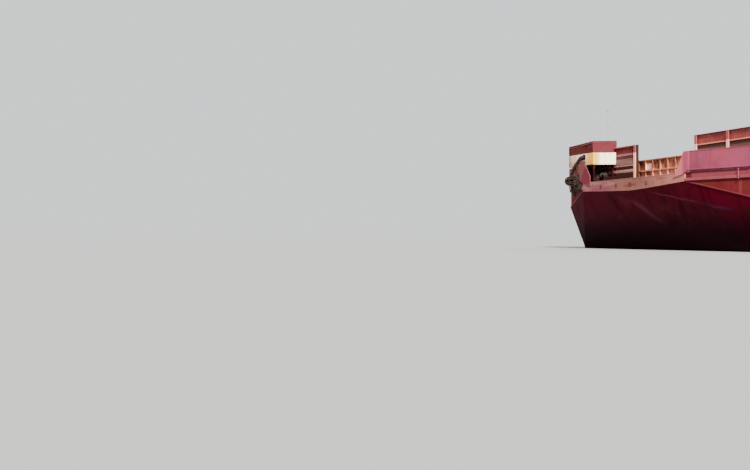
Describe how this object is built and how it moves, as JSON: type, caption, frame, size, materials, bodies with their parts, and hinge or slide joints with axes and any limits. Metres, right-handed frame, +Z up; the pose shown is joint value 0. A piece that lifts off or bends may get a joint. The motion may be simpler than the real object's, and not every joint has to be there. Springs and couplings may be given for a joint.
{
  "type": "flat-top river barge, 1:10 scale model",
  "caption": "Scale model of a raked flat-deck barge with boarded cargo sides, bow name walls, a winch under a red and cream hood, bitts and hinged deck hatches.",
  "frame": {"origin": "middle of the flat bottom, under the middle of the overall length and beam", "axes": "+X to the bow, +Y to port, +Z up"},
  "size_m": [9.144, 2.438, 1.156],
  "materials": {
    "hull_paint": "dark red hull paint, weathered, with rust and scum near the water",
    "band_paint": "faded pink paint over rubbed steel",
    "wall_paint": "faded red paint with rust at the edges",
    "board_paint": "red paint with cream post feet, scratched and rusty",
    "rusty_plate": "orange rust over old paint",
    "cream_paint": "cream paint with yellow stains",
    "red_paint": "faded red paint",
    "dark_paint": "dark greasy paint with rust",
    "grey_paint": "worn grey paint on cast parts",
    "pale_paint": "pale grey paint",
    "rope": "weathered laid mooring rope"
  },
  "bodies": {
    "hull": {"bow_section": "hull_paint", "midbody": "hull_paint", "stern_section": "hull_paint", "skeg_port": "hull_paint", "skeg_starboard": "hull_paint", "headlog_band": "band_paint", "transom_plate": "band_paint", "quarter_fender_port": "wall_paint", "quarter_fender_starboard": "wall_paint", "side_strakes_port": "wall_paint", "side_strakes_starboard": "wall_paint", "name_wall_port": "wall_paint", "name_wall_starboard": "wall_paint", "front_boards_port": "board_paint", "front_boards_starboard": "board_paint", "side_boards_port": "board_paint", "side_boards_starboard": "board_paint", "aft_boards": "board_paint", "centre_panel": "rusty_plate", "hood_frame": "dark_paint", "hood_skirt": "cream_paint", "hood_roof": "red_paint", "hood_brace": "dark_paint", "light_pole": "pale_paint", "winch_bed": "dark_paint", "winch_case": "grey_paint", "mooring_cleat": "dark_paint", "mooring_turns": "rope", "bitt_bow": "dark_paint", "bitt_side_1_port": "dark_paint", "bitt_side_1_starboard": "dark_paint", "bitt_side_2_port": "dark_paint", "bitt_side_2_starboard": "dark_paint", "bitt_side_3_port": "dark_paint", "bitt_side_3_starboard": "dark_paint", "bitt_stern_port": "dark_paint", "bitt_stern_starboard": "dark_paint", "hatch_coaming_fore": "dark_paint", "hatch_coaming_aft": "dark_paint"},
    "winch_drum": {"winch_drum": "grey_paint"},
    "hatch_lid_fore": {"hatch_lid_fore": "dark_paint"},
    "hatch_lid_aft": {"hatch_lid_aft": "dark_paint"}
  },
  "joints": [
    {"name": "winch_drum_turn", "type": "hinge", "parent": "hull", "child": "winch_drum", "pos_m": [4.352, -0.9, 0.648], "axis": [0, 1, 0], "continuous": true},
    {"name": "hatch_fore_hinge", "type": "hinge", "parent": "hull", "child": "hatch_lid_fore", "pos_m": [4.325, 0.9, 0.6123], "axis": [0, -1, 0], "range_deg": [0, 100]},
    {"name": "hatch_aft_hinge", "type": "hinge", "parent": "hull", "child": "hatch_lid_aft", "pos_m": [-4.23, 0.52, 0.5773], "axis": [0, -1, 0], "range_deg": [0, 100]}
  ]
}
